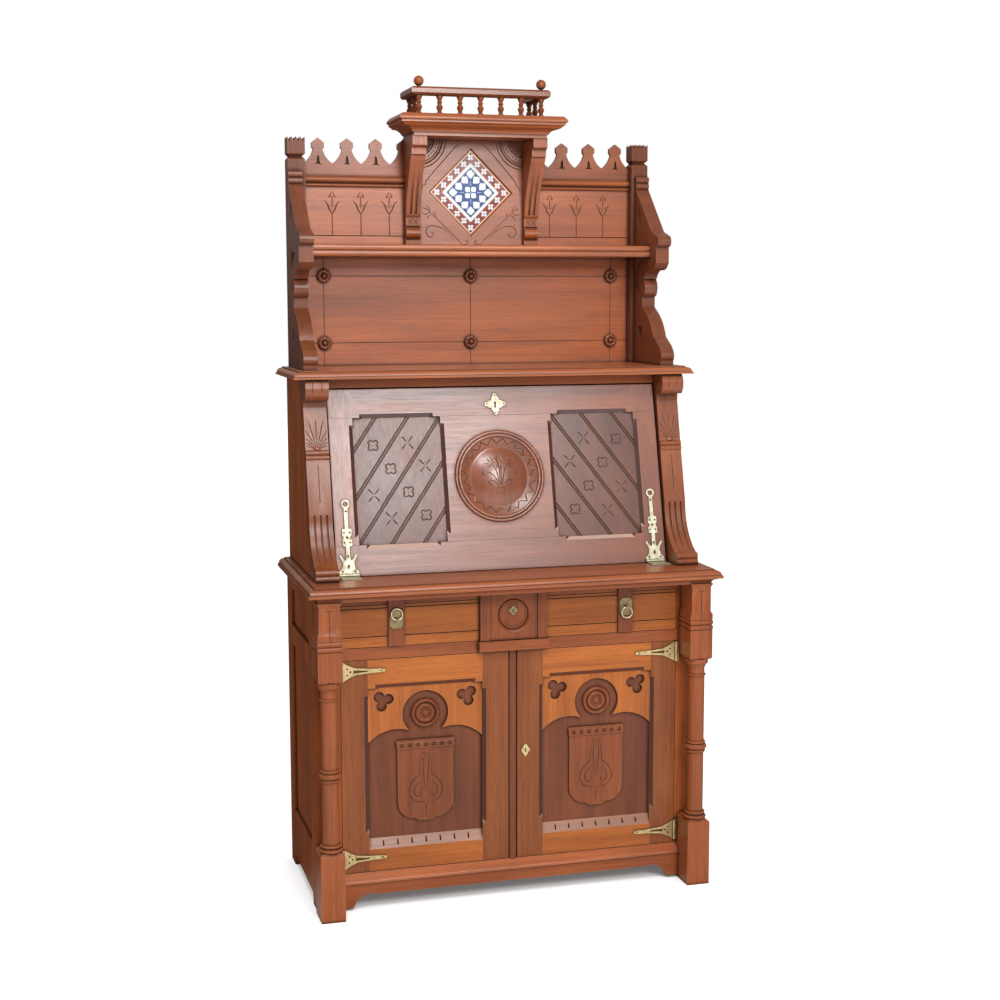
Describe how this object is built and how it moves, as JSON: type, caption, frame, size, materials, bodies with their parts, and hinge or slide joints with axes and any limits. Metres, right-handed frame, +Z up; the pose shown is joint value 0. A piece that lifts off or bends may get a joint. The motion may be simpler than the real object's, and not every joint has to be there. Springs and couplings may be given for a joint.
{
  "type": "drop front desk",
  "caption": "Tall carved walnut desk with a leaning drop front, a drawer and cupboard between turned columns, and a hutch with a diamond tile and spindle gallery.",
  "frame": {"origin": "on the floor under the middle of the bounding box", "axes": "+X to the right as seen from the front, +Y towards the wall behind, +Z up"},
  "size_m": [1.024, 0.498, 2.0075],
  "materials": {
    "walnut": "polished reddish brown walnut",
    "walnut_dark": "polished dark figured veneer",
    "walnut_light": "polished orange brown walnut",
    "inner_wood": "plain unpolished softwood",
    "brass": "worn antique brass",
    "glazed_tile": "opaque glazed earthenware with a printed pattern"
  },
  "bodies": {
    "case": {"base_side_left": "walnut", "base_side_right": "walnut", "sill_rail": "walnut", "apron": "walnut", "drawer_rail": "walnut", "center_mullion": "walnut", "top_rail": "walnut", "plinth_blocks": "walnut", "columns": "walnut", "capital_blocks": "walnut", "desk_top": "walnut", "bed_moulding": "walnut", "desk_sides": "walnut", "consoles": "walnut", "lock_rail": "walnut", "upper_ledge": "walnut", "hutch_back": "walnut", "rosettes": "walnut", "hutch_shelf": "walnut", "frieze_boards": "walnut", "frieze_mouldings": "walnut", "cresting": "walnut", "corner_posts": "walnut", "hutch_brackets": "walnut", "tile_board": "walnut", "tile_brackets": "walnut", "cornice": "walnut", "gallery_rail": "walnut", "gallery_spindles": "walnut", "ball_finials": "walnut", "base_back": "inner_wood", "cupboard_floor": "inner_wood", "cupboard_shelf": "inner_wood", "drawer_runners": "inner_wood", "desk_back": "inner_wood", "pigeonholes": "inner_wood", "fall_hinge_leaves": "brass", "door_hinge_leaves": "brass", "tile": "glazed_tile"},
    "fall": {"fall_frame": "walnut", "fall_panels": "walnut_dark", "medallion": "walnut", "fall_fittings": "brass"},
    "left_door": {"left_door_frame": "walnut_light", "left_door_panel": "walnut_dark", "left_door_spandrel": "walnut_light", "left_door_ornaments": "walnut_light", "left_door_fittings": "brass"},
    "right_door": {"right_door_frame": "walnut_light", "right_door_panel": "walnut_dark", "right_door_spandrel": "walnut_light", "right_door_ornaments": "walnut_light", "right_door_fittings": "brass"},
    "drawer": {"drawer_front": "walnut_light", "drawer_carcase": "inner_wood", "drawer_bottom": "inner_wood", "drawer_trim": "walnut_light", "drawer_fittings": "brass"},
    "ring_left": {"ring_left": "brass"},
    "ring_right": {"ring_right": "brass"}
  },
  "joints": [
    {"name": "fall_hinge", "type": "hinge", "parent": "case", "child": "fall", "pos_m": [0, -0.10138, 0.80697], "axis": [1, 0, 0], "range_deg": [0, 104]},
    {"name": "left_door_hinge", "type": "hinge", "parent": "case", "child": "left_door", "pos_m": [-0.42525, -0.16, 0.35], "axis": [0, 0, -1], "range_deg": [0, 90]},
    {"name": "right_door_hinge", "type": "hinge", "parent": "case", "child": "right_door", "pos_m": [0.42525, -0.16, 0.35], "axis": [0, 0, 1], "range_deg": [0, 90]},
    {"name": "drawer_slide", "type": "slide", "parent": "case", "child": "drawer", "axis": [0, -1, 0], "range_m": [0, 0.25]},
    {"name": "ring_left_pivot", "type": "hinge", "parent": "drawer", "child": "ring_left", "pos_m": [-0.2895, -0.171, 0.7065], "axis": [1, 0, 0], "range_deg": [0, 165]},
    {"name": "ring_right_pivot", "type": "hinge", "parent": "drawer", "child": "ring_right", "pos_m": [0.2895, -0.171, 0.7065], "axis": [-1, 0, 0], "range_deg": [-10, 150]}
  ]
}
